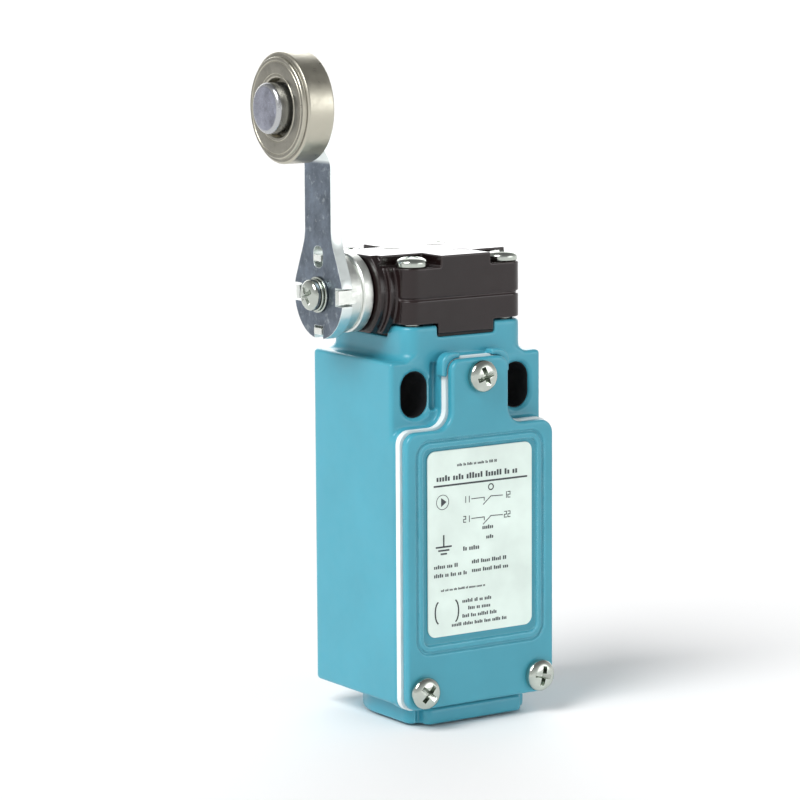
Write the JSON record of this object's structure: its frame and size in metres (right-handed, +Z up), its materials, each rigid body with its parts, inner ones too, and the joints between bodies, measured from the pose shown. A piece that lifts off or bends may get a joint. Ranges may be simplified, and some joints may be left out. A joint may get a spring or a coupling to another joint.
{
  "type": "limit switch",
  "caption": "Die-cast limit switch with a side rotary head and roller lever, two top mounting slots, a front cover over a double-break contact block and a bottom conduit entry.",
  "frame": {"origin": "on the back mounting face, midway between the two mounting slots", "axes": "+Z up along the body towards the head, +Y out of the back mounting face, +X to the right seen from the front; the lever is on the -X side"},
  "size_m": [0.0479, 0.0311, 0.1149],
  "materials": {
    "paint": "satin light blue enamel on die-cast zinc, slight orange peel",
    "head_black": "glossy black enamel on die-cast zinc",
    "gasket": "off-white moulded elastomer",
    "label": "off-white printed film",
    "zinc": "bright zinc plate",
    "lever_steel": "grey plated pressed steel, mottled",
    "roller_steel": "hardened steel, finely turned",
    "bronze": "sintered bronze",
    "brass": "plain stamped brass",
    "rubber": "black nitrile rubber",
    "moulding": "black phenolic moulding",
    "carrier": "cream moulded plastic",
    "spring": "drawn spring wire"
  },
  "bodies": {
    "root": {"housing": "paint", "cover": "paint", "cover_gasket": "gasket", "rating_label": "label", "cover_screw_top": "zinc", "cover_screw_left": "zinc", "cover_screw_right": "zinc", "head_housing": "head_black", "head_gasket": "rubber", "head_screw_front_left": "zinc", "head_screw_front_right": "zinc", "head_screw_back_right": "zinc", "head_screw_back_left": "zinc", "bearing_bush": "bronze", "shaft_seal": "rubber", "plunger_guide": "bronze", "plunger_seal": "rubber", "plunger_spring": "spring", "contact_block": "moulding", "contact_block_lid": "moulding", "terminal_nc_left": "brass", "terminal_nc_right": "brass", "terminal_no_left": "brass", "terminal_no_right": "brass", "terminal_screw_nc_left": "zinc", "terminal_screw_nc_right": "zinc", "terminal_screw_no_left": "zinc", "terminal_screw_no_right": "zinc", "block_screw_upper": "zinc", "block_screw_lower": "zinc", "earth_screw": "brass", "earth_washer": "brass", "carrier_spring": "spring"},
    "lever": {"rotary_shaft": "zinc", "lever_hub": "zinc", "lever_arm": "lever_steel", "lever_flat_washer": "zinc", "lever_spring_washer": "zinc", "lever_screw": "zinc", "roller_pin": "roller_steel", "roller_washer": "zinc"},
    "roller": {"roller": "roller_steel", "roller_bush": "bronze"},
    "plunger": {"head_plunger": "zinc"},
    "carrier": {"contact_carrier": "carrier", "bridge_nc": "brass", "bridge_no": "brass", "contact_spring_nc": "spring", "contact_spring_no": "spring"}
  },
  "joints": [
    {"name": "lever_turn", "type": "hinge", "parent": "root", "child": "lever", "pos_m": [0, -0.01286, 0.01675], "axis": [1, 0, 0], "range_deg": [-75, 75], "stiffness_Nm_per_rad": 0.1},
    {"name": "roller_spin", "type": "hinge", "parent": "lever", "child": "roller", "pos_m": [-0.027, -0.01286, 0.04855], "axis": [1, 0, 0], "continuous": true},
    {"name": "plunger_slide", "type": "slide", "parent": "root", "child": "plunger", "axis": [0, 0, 1], "range_m": [-0.003, 0], "stiffness_N_per_m": 500, "springref_m": 0.004, "deforming": ["plunger_spring"]},
    {"name": "carrier_slide", "type": "slide", "parent": "root", "child": "carrier", "axis": [0, 0, 1], "range_m": [-0.003, 0], "stiffness_N_per_m": 200, "springref_m": 0.004, "deforming": ["carrier_spring"]}
  ],
  "couplings": [
    {"joint": "carrier_slide", "follows": "plunger_slide", "ratio": 1}
  ]
}
